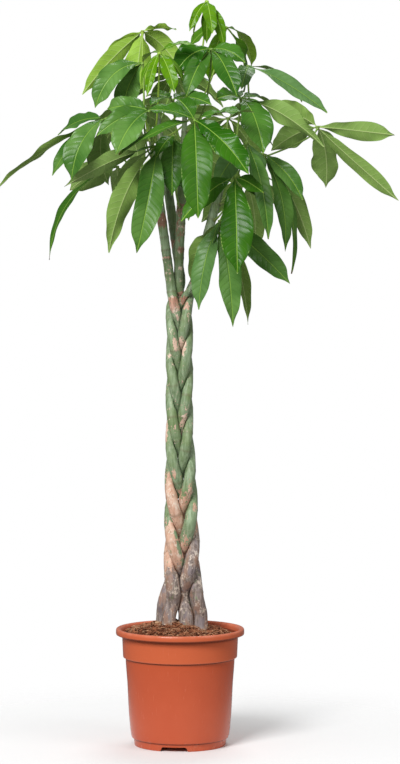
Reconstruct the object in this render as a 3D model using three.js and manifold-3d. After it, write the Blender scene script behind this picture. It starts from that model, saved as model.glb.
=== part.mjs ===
// Potted money tree: five plaited Pachira stems in a plastic nursery pot.
// Millimetres, +Z up, -Y is the front. The origin is the middle of the pot's base.
import * as THREE from 'three';
import { mergeGeometries, mergeVertices } from 'three/addons/utils/BufferGeometryUtils.js';
import Module from 'manifold-3d';

const wasm = await Module();
wasm.setup();

// ---------------------------------------------------------------- driving dimensions
const GAP = 0.35; // clearance between pieces that touch

// Pot: a 24 cm nursery pot
const POT_HEIGHT = 220;
const LIP_RADIUS = 120.5;
const LIP_BOTTOM = 208.5;
const STEP_BOTTOM = 162; // the step under the collar
const STEP_TOP = 168;
const POT_WALL = 2.6;
const POT_FLOOR = 12; // top of the floor over the raised channel
const CHANNEL_HEIGHT = 9; // raised channel in the underside
const CHANNEL_INNER = 52;
const CHANNEL_OUTER = 78;
const FOOT_RADIUS = 86;
const POT_SIDES = 36;
const NOTCH_COUNT = 3;
const NOTCH_WIDTH = 57;
const NOTCH_TOP_WIDTH = 43;
const NOTCH_TURN = -7.5; // degrees from the front
const DRAIN_HOLES = 6;
const DRAIN_RADIUS = 5;

// Soil
const SOIL_EDGE = 208; // height of the soil at the pot's wall
const SOIL_MOUND = 23.5; // rise towards the stems
const SOIL_BOTTOM = 16;
const SOIL_TILT = 6; // how much lower it lies at the right-hand back than in the middle
const LUMP_HEIGHT = 2.4;
const LUMP_PACE = 0.16; // radians in a millimetre across, and a little less in depth
const LUMP_PACE_DEEP = 0.14;
const SOIL_SIDES = 24;

// Plait: five strands, each over two and under two of the others
const STRANDS = 5;
const PLAIT_PITCH = 382; // height in which a strand goes once round the plait
const PLAIT_PHASE = 288; // degrees, of the first strand at PLAIT_START
const PLAIT_START = 348;
const PLAIT_DEPTH = 1.7; // half the depth between the strands' axes, in strand radii
const SPLAY_TOP = 310; // the strands part below this height
const SPLAY_BOTTOM = 240;
const PLAIT_TOP = 820; // and leave each other above this one
const FREE_START = 880;
const FREE_HEIGHT = 900; // heights at which a free stem's places are given
const HIGH_HEIGHT = 1150;
const STEM_BOTTOM = 130; // lower ends, in the soil
const STEM_SIDES = 7;
const STEM_STEP = 20; // height of one ring of a stem
const PRESSED_GAP = 1.05; // each side of the flat where two strands press on each other

// height: half the width of the plait, strand radius
const PLAIT_HALF_WIDTH = [[240, 45], [280, 39], [330, 35], [400, 33], [480, 31], [600, 26], [820, 25.5]];
const STRAND_RADIUS = [[235, 13.4], [330, 13], [420, 11.4], [500, 10.4], [600, 9.6], [820, 9.4], [880, 8.6]];
const PLAIT_LEAN = [[240, 4.5], [330, 4], [520, 1], [600, -1]]; // how far it stands to the right
const TAPER_LENGTH = 130; // below a stem's top

// Each strand: where it stands in the soil, its places at FREE_HEIGHT and HIGH_HEIGHT, its top and
// its radius there
const STEMS = [
  { name: 'stem_back', foot: [10, 25], free: [-2, 20], high: [-38, 44], top: 1190, tip: 4.5 },
  { name: 'stem_left', foot: [-21, -16], free: [41, -24], high: [138, -56], top: 905, tip: 3 },
  { name: 'stem_far_left', foot: [-32, 19], free: [36, 26], high: [104, 40], top: 1120, tip: 4.5 },
  { name: 'stem_middle', foot: [12, -12], free: [-2, -3], high: [8, -8], top: 1180, tip: 4.5 },
  { name: 'stem_right', foot: [38, -4], free: [-22, -12], high: [-56, -14], top: 1130, tip: 4.5 },
];

// ---------------------------------------------------------------- small tools
const { degToRad, lerp, clamp, smoothstep } = THREE.MathUtils;

/** Value at a height from a list of [height, value]. */
function along(list, height) {
  if (height <= list[0][0]) {
    return list[0][1];
  }
  for (let i = 1; i < list.length; i += 1) {
    const [h0, v0] = list[i - 1];
    const [h1, v1] = list[i];
    if (height <= h1) {
      return lerp(v0, v1, (height - h0) / (h1 - h0));
    }
  }
  return list[list.length - 1][1];
}

/** Merges a geometry's shared vertices, so that only positions are left. */
function welded(geometry) {
  geometry.deleteAttribute('normal');
  geometry.deleteAttribute('uv');
  return mergeVertices(geometry);
}

/** Moves every vertex of a geometry by a function of its position. */
function shaped(geometry, place) {
  const position = geometry.attributes.position;
  const vertex = new THREE.Vector3();
  for (let i = 0; i < position.count; i += 1) {
    vertex.fromBufferAttribute(position, i);
    vertex.copy(place(vertex));
    position.setXYZ(i, vertex.x, vertex.y, vertex.z);
  }
  return geometry;
}

function toSolid(geometry) {
  const closed = welded(geometry);
  return new wasm.Manifold(new wasm.Mesh({
    numProp: 3,
    vertProperties: new Float32Array(closed.attributes.position.array),
    triVerts: new Uint32Array(closed.index.array),
  }));
}

function toGeometry(solid) {
  const mesh = solid.getMesh();
  const geometry = new THREE.BufferGeometry();
  geometry.setAttribute('position', new THREE.BufferAttribute(mesh.vertProperties, 3));
  geometry.setIndex(new THREE.BufferAttribute(mesh.triVerts, 1));
  geometry.computeVertexNormals();
  return geometry;
}

// ---------------------------------------------------------------- plait and free stems
function stemRadius(index, z) {
  const { top, tip } = STEMS[index];
  return lerp(along(STRAND_RADIUS, z), tip, smoothstep(z, top - TAPER_LENGTH, top));
}

/** Axis of a strand at a height. */
function stemAxis(index, z) {
  const { foot, free, high } = STEMS[index];
  const radius = along(STRAND_RADIUS, z);
  const halfWidth = along(PLAIT_HALF_WIDTH, z) - radius;
  const turn = degToRad(PLAIT_PHASE + (360 / STRANDS) * index + (360 * (z - PLAIT_START)) / PLAIT_PITCH);
  const plait = [along(PLAIT_LEAN, z) - halfWidth * Math.cos(turn), PLAIT_DEPTH * radius * Math.sin(2 * turn)];
  const splay = 1 - smoothstep(z, SPLAY_BOTTOM, SPLAY_TOP);
  const loose = smoothstep(z, PLAIT_TOP, FREE_START);
  const rise = (z - FREE_HEIGHT) / (HIGH_HEIGHT - FREE_HEIGHT);
  const [x, y] = [0, 1].map((i) => {
    const lower = lerp(plait[i], foot[i], splay);
    return lerp(lower, lerp(free[i], high[i], rise), loose);
  });
  return new THREE.Vector3(x, y, z);
}

/** Nearest point of another strand's axis. */
function nearestOnStem(index, point) {
  const reach = 32; // more than a strand's thickness up and down
  const step = 2;
  let nearest = null;
  for (let z = point.z - reach; z <= point.z + reach; z += step) {
    const other = stemAxis(index, z);
    if (z <= STEMS[index].top && (!nearest || other.distanceTo(point) < nearest.distanceTo(point))) {
      nearest = other;
    }
  }
  return nearest;
}

/** Where strands press on each other each keeps its own half, with a flat between them. */
function pressedRadius(index, height, direction) {
  let limit = stemRadius(index, height);
  for (const level of [height - STEM_STEP / 2, height, height + STEM_STEP / 2]) {
    const centre = stemAxis(index, level);
    for (let other = 0; other < STRANDS; other += 1) {
      const nearest = other === index ? null : nearestOnStem(other, centre);
      if (nearest) {
        const apart = nearest.sub(centre);
        const half = apart.length() / 2 - PRESSED_GAP;
        const facing = direction.dot(apart.normalize());
        if (facing * limit > half) {
          limit = half / facing;
        }
      }
    }
  }
  return limit;
}

/** A tube round a stem's axis; radiusAt gives its radius for a height and a direction. */
function stemTube(index, bottom, top, steps, radiusAt) {
  const tube = new THREE.CylinderGeometry(1, 1, 1, STEM_SIDES, steps);
  return toSolid(shaped(tube, ({ x, y, z }) => {
    const height = lerp(bottom, top, y + 0.5);
    const centre = stemAxis(index, height);
    const ahead = stemAxis(index, height + 1).sub(centre).normalize();
    const side = new THREE.Vector3(1, 0, 0).cross(ahead).normalize();
    const across = ahead.clone().cross(side);
    const direction = across.multiplyScalar(x).addScaledVector(side, z);
    if (direction.length() < 0.5) {
      return centre; // middle of an end
    }
    direction.normalize();
    return centre.addScaledVector(direction, radiusAt(height, direction));
  }));
}

function stemSolid(index) {
  const { top } = STEMS[index];
  const steps = Math.round((top - STEM_BOTTOM) / STEM_STEP);
  return stemTube(index, STEM_BOTTOM, top, steps, (height, direction) => pressedRadius(index, height, direction));
}

/** The plain hole that a stem stands in. */
function stemHole(index) {
  return stemTube(index, STEM_BOTTOM - GAP, SPLAY_BOTTOM, 1, (height) => stemRadius(index, height) + GAP);
}

// ---------------------------------------------------------------- leaves
const BLADE_STEPS = 6;
const BLADE_THICKNESS = 1.8; // at the midrib, thinning to the margins
const SWELL_SHARE = 1 / 6; // of its length, at each end, in which the blade gets its thickness
const TURN_SHARE = 0.4; // of its length, from the hub, in which the blade rolls
const STALK_WIDTH = 3.6; // where a leaflet meets the hub
const TIP_WIDTH = 1.6;
const HUB_RADIUS = 4.8;
const PETIOLE_RADIUS = 2.3;
const PETIOLE_FOOT = 3.6; // swollen foot on the stem
const PETIOLE_SIDES = 4;
const PETIOLE_STEPS = 6;
const PETIOLE_FOOT_SHARE = 0.2; // of its length
const FOOT_LEAN_DOWN = -0.3; // how steeply a stalk may leave its stem, radians
const FOOT_LEAN_UP = 0.35;
const FOOT_RUN = 0.35; // length of the curve's ends, as a share of the stalk's
const HUB_RUN = 0.15;
const WIDEST = 0.53; // of a leaflet's length, from the hub
const ROUNDNESS = 1.1;
const CROWN_PLACE = 0.45; // of a leaflet's length, where its arch is highest
const BLADE_FOLD = 0.22; // rise of the margins over the midrib, of half the width
const WAVE_HEIGHT = 0.045; // of the width
const WAVE_PACE = 9; // radians in a leaflet's length
const WAVE_SHIFT = 2.4; // from one leaflet to the next, radians
const WAVE_SKEW = 1.5; // between the midrib and a margin, radians

/** Outline of a leaflet: 0 at both ends, 1 at its widest. */
function outline(s) {
  return (s / WIDEST) ** ROUNDNESS * ((1 - s) / (1 - WIDEST)) ** (ROUNDNESS * (1 / WIDEST - 1));
}

/**
 * A leaflet on an arched midrib from the hub to its tip. rise is how far the arch stands over the
 * straight line, as a share of its length; turn rolls the blade round its midrib, in degrees; sway
 * bows the midrib sideways, as a share of its length.
 */
function leaflet(hub, face, [dx, dy, dz, width, rise, turn, sway = 0], seed) {
  const reach = new THREE.Vector3(dx, dy, dz);
  const length = reach.length();
  const chord = reach.clone().normalize();
  const up = face.clone().addScaledVector(chord, -face.dot(chord)).normalize();
  const crown = hub.clone().addScaledVector(reach, CROWN_PLACE).addScaledVector(up, 2 * rise * length);
  crown.addScaledVector(chord.clone().cross(up), 2 * sway * length);
  const midrib = new THREE.QuadraticBezierCurve3(hub, crown, hub.clone().add(reach));
  const upper = new THREE.PlaneGeometry(2, 1, 2, BLADE_STEPS);
  const lower = upper.clone();
  lower.index.array.reverse();
  const bladeSide = (thickness) => ({ x, y }) => {
    const s = y + 0.5;
    const tangent = midrib.getTangent(s);
    const plain = up.clone().addScaledVector(tangent, -up.dot(tangent)).normalize();
    const normal = plain.applyAxisAngle(tangent, degToRad(turn * Math.min(1, s / TURN_SHARE)));
    const sideways = tangent.clone().cross(normal);
    const half = Math.max(lerp(STALK_WIDTH, TIP_WIDTH, s), width * outline(s)) / 2;
    const ripple = Math.sin(WAVE_PACE * s + WAVE_SHIFT * seed + WAVE_SKEW * x);
    const wave = Math.abs(x) * ripple * width * WAVE_HEIGHT;
    const fold = Math.abs(x) * half * BLADE_FOLD;
    const swell = (1 - Math.abs(x)) * thickness * Math.min(1, s / SWELL_SHARE, (1 - s) / SWELL_SHARE);
    return midrib.getPoint(s).addScaledVector(sideways, x * half).addScaledVector(normal, fold + wave + swell);
  };
  const faces = [shaped(upper, bladeSide(BLADE_THICKNESS / 2)), shaped(lower, bladeSide(-BLADE_THICKNESS / 2))];
  return toSolid(mergeGeometries(faces));
}

/** The long leaf stalk, from a swollen foot on the stem to the hub under the leaflets. */
function petiole(stem, height, hub, face) {
  const centre = stemAxis(stem, height);
  const way = hub.clone().sub(centre);
  const lean = clamp(Math.atan2(way.z, Math.hypot(way.x, way.y)), FOOT_LEAN_DOWN, FOOT_LEAN_UP);
  const outward = new THREE.Vector3(way.x, way.y, 0).normalize();
  const start = outward.clone().multiplyScalar(Math.cos(lean)).add(new THREE.Vector3(0, 0, Math.sin(lean)));
  const clear = stemRadius(stem, height) + 3 * GAP + PETIOLE_FOOT * Math.abs(Math.sin(lean));
  const foot = centre.clone().addScaledVector(outward, clear);
  const length = hub.distanceTo(foot);
  const curve = new THREE.CubicBezierCurve3(
    foot,
    foot.clone().addScaledVector(start, length * FOOT_RUN),
    hub.clone().addScaledVector(face, -length * HUB_RUN),
    hub,
  );
  const tube = new THREE.CylinderGeometry(1, 1, 1, PETIOLE_SIDES, PETIOLE_STEPS);
  return toSolid(shaped(tube, ({ x, y, z }) => {
    const s = y + 0.5;
    const tangent = curve.getTangent(s);
    const side = new THREE.Vector3(way.y, -way.x, 0).normalize();
    const across = side.clone().cross(tangent).normalize();
    const radius = PETIOLE_RADIUS + (PETIOLE_FOOT - PETIOLE_RADIUS) * Math.max(0, 1 - s / PETIOLE_FOOT_SHARE);
    return curve.getPoint(s).addScaledVector(side, x * radius).addScaledVector(across, z * radius);
  }));
}

/** Leaflets evenly round a hub, square to the leaf's face and drooping, for the leaves at the back. */
function fan([faceX, faceY, faceZ], count, length, width, droop) {
  const face = new THREE.Vector3(faceX, faceY, faceZ).normalize();
  const level = new THREE.Vector3(0, 0, 1).cross(face).normalize();
  const uphill = face.clone().cross(level);
  return Array.from({ length: count }, (_, i) => {
    const bearing = degToRad(-90 + (360 / (count + 1)) * (i - (count - 1) / 2));
    const size = 1 - 0.1 * Math.abs(i - (count - 1) / 2);
    const tip = level.clone().multiplyScalar(Math.cos(bearing)).addScaledVector(uphill, Math.sin(bearing));
    tip.addScaledVector(face, -droop).setLength(length * size);
    return [tip.x, tip.y, tip.z, width * size, 0.13, 0];
  });
}

// Each leaf: stem and height of its foot, hub, the way its upper side looks, and its leaflets as
// [tip x, y, z from the hub, width, rise, turn]; the leaves at the back have a fan of them.
const LEAVES = [
  {
    name: 'leaf_top_young', stem: 0, foot: 1160, hub: [50, 0, 1391], face: [0, -0.5, 0.87], young: true,
    leaflets: [
      [-32, -22, -57, 17, 0.12, -30], [-25, 22, -72, 13, 0.1, 40], [0, 14, -77, 20, 0.1, 0],
      [10, -36, -62, 26, 0.12, 0], [32, -10, -89, 20, 0.16, 30],
    ],
  },
  {
    name: 'leaf_top_back', stem: 0, foot: 1140, hub: [86, 60, 1347], face: [0.2, -0.3, 0.93],
    leaflets: [
      [34, 45, -120, 40, 0.12, 20], [-31, 15, -99, 34, 0.12, -40], [-66, 20, -34, 34, 0.16, -30],
      [50, 110, -70, 36, 0.14, 0],
    ],
  },
  {
    name: 'leaf_top_dark', stem: 3, foot: 1150, hub: [58, -40, 1300], face: [0, -0.45, 0.89],
    leaflets: [
      [-66, -24, -46, 48, 0.18, -30], [-46, -50, -90, 38, 0.12, -20], [47, -70, -91, 40, 0.12, 15],
      [62, -30, -26, 36, 0.14, 20], [20, 62, -40, 34, 0.14, 0],
    ],
  },
  {
    name: 'leaf_centre_young', stem: 4, foot: 1122, hub: [-37, -92, 1290], face: [0, -0.35, 0.93], young: true,
    leaflets: [
      [-34, 10, -62, 14, 0.12, 0], [-22, -34, -81, 17, 0.12, -20], [28, -30, -74, 26, 0.12, 20],
      [46, 18, -61, 15, 0.12, 30], [-32, 50, -16, 16, 0.14, 0], [70, 6, 14, 20, 0.14, 0],
    ],
  },
  {
    name: 'leaf_upper_left', stem: 4, foot: 1127, hub: [-71, 70, 1339], face: [0, 0.75, 0.66],
    leaflets: [
      [-114, 20, -117, 35, 0.08, 10], [-14, -10, -118, 50, 0.1, 0], [67, 30, -62, 44, 0.16, 0],
      [64, -28, 2, 26, 0.12, 30], [-84, 90, -80, 36, 0.12, 0],
    ],
  },
  {
    name: 'leaf_left_glossy', stem: 4, foot: 1102, hub: [-69, -60, 1273], face: [-0.3, -0.45, 0.84],
    leaflets: [
      [-86, -30, -84, 44, 0.2, -35], [-78, 34, -40, 30, 0.14, -20], [-34, 20, -90, 44, 0.1, -60],
    ],
  },
  {
    name: 'leaf_far_left', stem: 4, foot: 1045, hub: [-136, -60, 1172], face: [-0.25, -0.35, 0.9],
    leaflets: [
      [-202, 20, -128, 32, 0.05, 40], [-92, 66, -29, 36, 0.1, -20], [-99, 6, -105, 34, 0.1, -20],
      [-62, -40, -116, 50, 0.16, -25], [4, 44, -122, 46, 0.1, 75],
    ],
  },
  {
    name: 'leaf_left_hidden', stem: 0, foot: 1030, hub: [-118, 40, 1085], face: [-0.3, -0.1, 0.95],
    leaflets: [
      [-129, 24, -175, 26, 0.16, -30], [-90, 30, -44, 52, 0.08, 85], [14, 96, -84, 38, 0.12, 30],
    ],
  },
  {
    name: 'leaf_centre_high', stem: 3, foot: 1120, hub: [-13, -64, 1206], face: [-0.1, -0.3, 0.95],
    leaflets: [
      [-40, -72, -14, 28, 0.1, 0], [72, -60, -12, 34, 0.1, 20], [-50, 52, 8, 30, 0.1, 0],
      [44, 50, 6, 30, 0.1, 0],
    ],
  },
  {
    name: 'leaf_front_main', stem: 3, foot: 1090, hub: [27, -150, 1166], face: [0, -0.62, 0.78],
    leaflets: [
      [7, -62, -178, 60, 0.1, 0], [98, -60, -99, 52, 0.1, 10], [109, 4, 14, 36, 0.08, -26],
      [-86, -6, 18, 44, 0.1, 10], [-136, -24, -63, 34, 0.08, 20], [-30, 52, 40, 36, 0.08, 0],
    ],
  },
  {
    name: 'leaf_centre_dark', stem: 3, foot: 1010, hub: [-12, -62, 1140], face: [0, -0.5, 0.86],
    leaflets: [[-2, -34, -110, 42, 0.1, 0], [-30, -50, -40, 28, 0.1, 0], [24, -10, -104, 38, 0.1, 30]],
  },
  {
    name: 'leaf_front_left', stem: 4, foot: 1092, hub: [-56, -124, 1184], face: [-0.2, -0.5, 0.84],
    leaflets: [
      [-58, -66, -82, 50, 0.12, -20], [-94, -20, -46, 36, 0.1, -40], [-76, 30, 4, 38, 0.1, -40],
    ],
  },
  {
    name: 'leaf_lower_left', stem: 4, foot: 1020, hub: [-41, -84, 1122], face: [-0.2, -0.6, 0.7],
    leaflets: [
      [-89, -10, -197, 44, 0.12, 120], [-37, -46, -197, 52, 0.08, -30, -0.05], [-172, 24, -76, 36, 0.05, 90],
      [-80, 52, -92, 38, 0.1, 60],
    ],
  },
  {
    name: 'leaf_right_grey', stem: 2, foot: 985, hub: [123, -70, 1127], face: [0.2, -0.5, 0.84],
    leaflets: [
      [39, -46, -177, 34, 0.1, 0], [20, 20, -80, 36, 0.1, 30], [-58, -20, -82, 40, 0.1, -30],
    ],
  },
  {
    name: 'leaf_right_dark', stem: 2, foot: 1060, hub: [113, -40, 1210], face: [0.15, -0.4, 0.9],
    leaflets: [
      [40, -66, -103, 58, 0.14, 10], [151, -60, -91, 40, 0.08, -80], [-46, -52, -4, 36, 0.1, -20],
      [-24, 60, 8, 32, 0.1, 0], [60, 100, -20, 36, 0.12, 0],
    ],
  },
  {
    name: 'leaf_far_right', stem: 2, foot: 1080, hub: [257, 30, 1159], face: [-0.1, 0.5, 0.86],
    leaflets: [
      [146, 10, -15, 37, 0.01, -45], [155, 40, -137, 32, -0.01, -30], [18, 44, -113, 54, 0.08, -20, 0.07],
      [-86, -30, 38, 42, 0.08, 35], [-86, 36, -44, 44, 0.08, 35],
    ],
  },
  {
    name: 'leaf_upper_right', stem: 2, foot: 1090, hub: [128, 56, 1274], face: [0.2, -0.2, 0.96],
    leaflets: [
      [148, -10, -88, 38, 0.05, 38], [-14, -62, -46, 34, 0.14, 0], [104, 96, -64, 38, 0.12, 0],
    ],
  },
  {
    name: 'leaf_right_low', stem: 2, foot: 1015, hub: [152, -20, 1108], face: [0.3, -0.2, 0.93],
    leaflets: [
      [75, -30, -86, 34, 0.09, 50], [93, 50, -176, 40, 0.06, -75], [43, -20, -181, 36, 0.1, 30],
      [56, 16, -223, 28, 0.12, 12], [70, 120, -90, 38, 0.12, 0],
    ],
  },
  {
    name: 'leaf_front_right', stem: 2, foot: 950, hub: [101, -110, 1064], face: [0, -0.6, 0.8],
    leaflets: [
      [4, -62, -176, 58, 0.08, 0], [-98, -28, -81, 46, 0.1, -10], [52, -50, -30, 26, 0.06, 40],
      [62, 30, -46, 36, 0.1, 30],
    ],
  },
  {
    name: 'leaf_lowest', stem: 1, foot: 873, hub: [74, -44, 984], face: [0, -0.1, 0.99],
    leaflets: [
      [-50, 46, -121, 42, 0.08, 30], [-39, -30, -164, 44, 0.08, -10], [24, -26, -196, 42, 0.05, 10],
      [53, 44, -194, 34, 0.06, -20], [130, -20, -117, 46, 0.03, 55], [-14, -26, -42, 14, 0.06, 0],
    ],
  },
  {
    name: 'leaf_back_high', stem: 0, foot: 1170, hub: [-14, 160, 1262], face: [0, 0.5, 0.87],
    leaflets: fan([0, 0.5, 0.87], 6, 135, 42, 0.6),
  },
  {
    name: 'leaf_back_right', stem: 2, foot: 1110, hub: [92, 180, 1180], face: [0.3, 0.6, 0.74],
    leaflets: fan([0.3, 0.6, 0.74], 6, 140, 44, 0.5),
  },
  {
    name: 'leaf_back_left', stem: 0, foot: 1130, hub: [-95, 150, 1195], face: [-0.35, 0.55, 0.76],
    leaflets: fan([-0.35, 0.55, 0.76], 6, 140, 44, 0.5),
  },
  {
    name: 'leaf_back_middle', stem: 0, foot: 1080, hub: [15, 200, 1120], face: [0, 0.8, 0.6],
    leaflets: fan([0, 0.8, 0.6], 5, 145, 46, 0.3),
  },
  {
    name: 'leaf_back_low', stem: 2, foot: 1010, hub: [125, 120, 1058], face: [0.35, 0.65, 0.67],
    leaflets: fan([0.35, 0.65, 0.67], 5, 135, 42, 0.5),
  },
];

/** One compound leaf, fused: petiole, hub and leaflets. */
function leafSolid({ stem, foot, hub, face, leaflets }) {
  const centre = new THREE.Vector3(...hub);
  const upper = new THREE.Vector3(...face).normalize();
  const knob = new THREE.SphereGeometry(HUB_RADIUS, 5, 3).translate(...hub);
  let solid = toSolid(knob).add(petiole(stem, foot, centre, upper));
  leaflets.forEach((values, i) => {
    solid = solid.add(leaflet(centre, upper, values, i));
  });
  return solid;
}

// ---------------------------------------------------------------- pot
function potSolid() {
  // outside from the foot up, then the inside down again
  const outside = [
    [0, 0], [CHANNEL_INNER - 2, 0], [CHANNEL_INNER, CHANNEL_HEIGHT], [CHANNEL_OUTER, CHANNEL_HEIGHT],
    [CHANNEL_OUTER + 2, 0], [FOOT_RADIUS, 0], [FOOT_RADIUS + 0.5, 5], [91.5, 16], [93.8, 30],
    [96.5, 60], [99.3, 120], [102.8, STEP_BOTTOM], [107.2, STEP_TOP], [109, LIP_BOTTOM - 2],
    [112, LIP_BOTTOM + 1], [119, LIP_BOTTOM], [LIP_RADIUS, LIP_BOTTOM + 2],
    [LIP_RADIUS, POT_HEIGHT - 3], [118.5, POT_HEIGHT], [113, POT_HEIGHT],
  ];
  const inside = [
    [109.5, POT_HEIGHT - 4], [109 - POT_WALL, LIP_BOTTOM - 2], [107.2 - POT_WALL, STEP_TOP + 1],
    [102.8 - POT_WALL, STEP_BOTTOM + 1], [96.5 - POT_WALL, 60], [93.8 - POT_WALL, 30], [88, POT_FLOOR + 3],
    [85, POT_FLOOR], [0, POT_FLOOR],
  ];
  const profile = [...outside, ...inside].map(([r, z]) => new THREE.Vector2(r, z));
  const body = new THREE.LatheGeometry(profile, POT_SIDES).rotateX(Math.PI / 2);
  let pot = toSolid(body);
  const notch = new THREE.Shape([
    new THREE.Vector2(-NOTCH_WIDTH / 2, -5),
    new THREE.Vector2(NOTCH_WIDTH / 2, -5),
    new THREE.Vector2(NOTCH_TOP_WIDTH / 2, CHANNEL_HEIGHT - 0.5),
    new THREE.Vector2(-NOTCH_TOP_WIDTH / 2, CHANNEL_HEIGHT - 0.5),
  ]);
  for (let i = 0; i < NOTCH_COUNT; i += 1) {
    const cut = new THREE.ExtrudeGeometry(notch, { depth: 40, bevelEnabled: false });
    cut.rotateX(Math.PI / 2).translate(0, -CHANNEL_INNER - 10, 0);
    cut.rotateZ(degToRad(NOTCH_TURN + (360 / NOTCH_COUNT) * i));
    pot = pot.subtract(toSolid(cut));
  }
  for (let i = 0; i < DRAIN_HOLES; i += 1) {
    const bit = new THREE.CylinderGeometry(DRAIN_RADIUS, DRAIN_RADIUS, 30, 10).rotateX(Math.PI / 2);
    bit.translate((CHANNEL_INNER + CHANNEL_OUTER) / 2, 0, 0);
    bit.rotateZ(degToRad(30 + (360 / DRAIN_HOLES) * i));
    pot = pot.subtract(toSolid(bit));
  }
  return pot;
}

// ---------------------------------------------------------------- soil
function soilSolid() {
  const edge = 106 - POT_WALL - GAP;
  const profile = [
    [0, SOIL_BOTTOM], [84, SOIL_BOTTOM], [93.8 - POT_WALL - GAP, 34], [96.5 - POT_WALL - GAP, 64],
    [101 - POT_WALL, STEP_BOTTOM - 2], [edge - 0.6, STEP_TOP + 6], [edge, SOIL_EDGE - 2],
    [edge - 4, SOIL_EDGE], [85, SOIL_EDGE], [65, SOIL_EDGE], [46, SOIL_EDGE], [26, SOIL_EDGE], [0, SOIL_EDGE],
  ].map(([r, z]) => new THREE.Vector2(r, z));
  const body = new THREE.LatheGeometry(profile, SOIL_SIDES).rotateX(Math.PI / 2);
  shaped(body, (vertex) => {
    if (vertex.z >= SOIL_EDGE) {
      const reach = Math.min(1, Math.hypot(vertex.x, vertex.y) / edge);
      const tilt = (SOIL_TILT * (vertex.x + vertex.y)) / (Math.SQRT2 * edge);
      const lumps = LUMP_HEIGHT * Math.sin(LUMP_PACE * vertex.x) * Math.cos(LUMP_PACE_DEEP * vertex.y + 1);
      vertex.z += SOIL_MOUND * (1 - reach ** 2) + lumps * (1 - reach ** 6) - tilt;
    }
    return vertex;
  });
  let soil = toSolid(body);
  STEMS.forEach((_, index) => {
    soil = soil.subtract(stemHole(index));
  });
  return soil;
}

// ---------------------------------------------------------------- the plant
const potPlastic = { color: 0xb9552f, roughness: 0.38, metalness: 0 };
const bark = { color: 0x5a2f1c, roughness: 0.95, metalness: 0 };
const stemSkin = { color: 0x6c8560, roughness: 0.6, metalness: 0 };
const leafGreen = { color: 0x3c7a1c, roughness: 0.35, metalness: 0 };
const youngGreen = { color: 0x7cab26, roughness: 0.4, metalness: 0 };

const plant = new THREE.Group();
plant.name = 'potted_money_tree';

function addPiece(name, solid, look) {
  const mesh = new THREE.Mesh(toGeometry(solid), new THREE.MeshStandardMaterial(look));
  mesh.name = name;
  plant.add(mesh);
}

addPiece('pot', potSolid(), potPlastic);
addPiece('soil', soilSolid(), bark);
STEMS.forEach(({ name }, index) => {
  addPiece(name, stemSolid(index), stemSkin);
});
LEAVES.forEach((leaf) => {
  addPiece(leaf.name, leafSolid(leaf), leaf.young ? youngGreen : leafGreen);
});

export default plant;
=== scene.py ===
import math
import random

import bmesh
import bpy
from mathutils import Matrix, Vector, noise


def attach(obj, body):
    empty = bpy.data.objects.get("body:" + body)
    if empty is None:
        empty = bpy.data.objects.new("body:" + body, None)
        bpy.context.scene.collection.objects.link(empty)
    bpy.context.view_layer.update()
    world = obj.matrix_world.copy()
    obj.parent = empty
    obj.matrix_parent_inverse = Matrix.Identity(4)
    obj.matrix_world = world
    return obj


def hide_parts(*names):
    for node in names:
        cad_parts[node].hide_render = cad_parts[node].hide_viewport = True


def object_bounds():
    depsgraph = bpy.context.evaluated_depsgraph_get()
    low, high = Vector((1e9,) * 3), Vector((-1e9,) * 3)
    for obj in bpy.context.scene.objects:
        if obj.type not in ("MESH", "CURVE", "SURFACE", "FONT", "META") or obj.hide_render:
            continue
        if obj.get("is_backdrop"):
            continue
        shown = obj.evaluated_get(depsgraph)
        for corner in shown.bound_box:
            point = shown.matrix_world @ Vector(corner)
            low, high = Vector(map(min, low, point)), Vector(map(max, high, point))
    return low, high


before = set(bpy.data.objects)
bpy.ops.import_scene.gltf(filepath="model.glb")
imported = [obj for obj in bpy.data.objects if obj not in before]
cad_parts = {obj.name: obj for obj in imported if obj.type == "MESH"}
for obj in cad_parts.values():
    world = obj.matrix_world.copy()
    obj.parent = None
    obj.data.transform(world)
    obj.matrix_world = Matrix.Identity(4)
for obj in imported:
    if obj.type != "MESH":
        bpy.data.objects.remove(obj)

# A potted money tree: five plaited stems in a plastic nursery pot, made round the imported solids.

cad_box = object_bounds()

# ---------------------------------------------------------------- pot
# A 24 cm nursery pot, injection moulded in terracotta-coloured polypropylene with a satin surface.
# Its rolled lip, the step below its collar and the foot ring with three drain notches are moulded
# in one piece with the wall.
MM = 0.001
POT_SEGMENTS = 168
POT_CREASE = 38  # edges that turn by more degrees than this stay crisp
NOTCH_COUNT = 3
NOTCH_START = 62  # how far out from the middle a notch begins
NOTCH_TURN = -7.5  # degrees from the front
NOTCH_OUTLINE = [
    (-28.5, -5), (28.5, -5), (24.6, 4), (22.6, 7.4), (20.6, 8.5), (-20.6, 8.5), (-22.6, 7.4), (-24.6, 4),
]
HOLE_COUNT = 6
HOLE_RADIUS = 5
HOLE_SIDES = 24
HOLE_CIRCLE = 65  # radius of the drain channel's middle, where the holes are
HOLE_TOP = 30
CUTTER_DEPTH = 40

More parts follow.
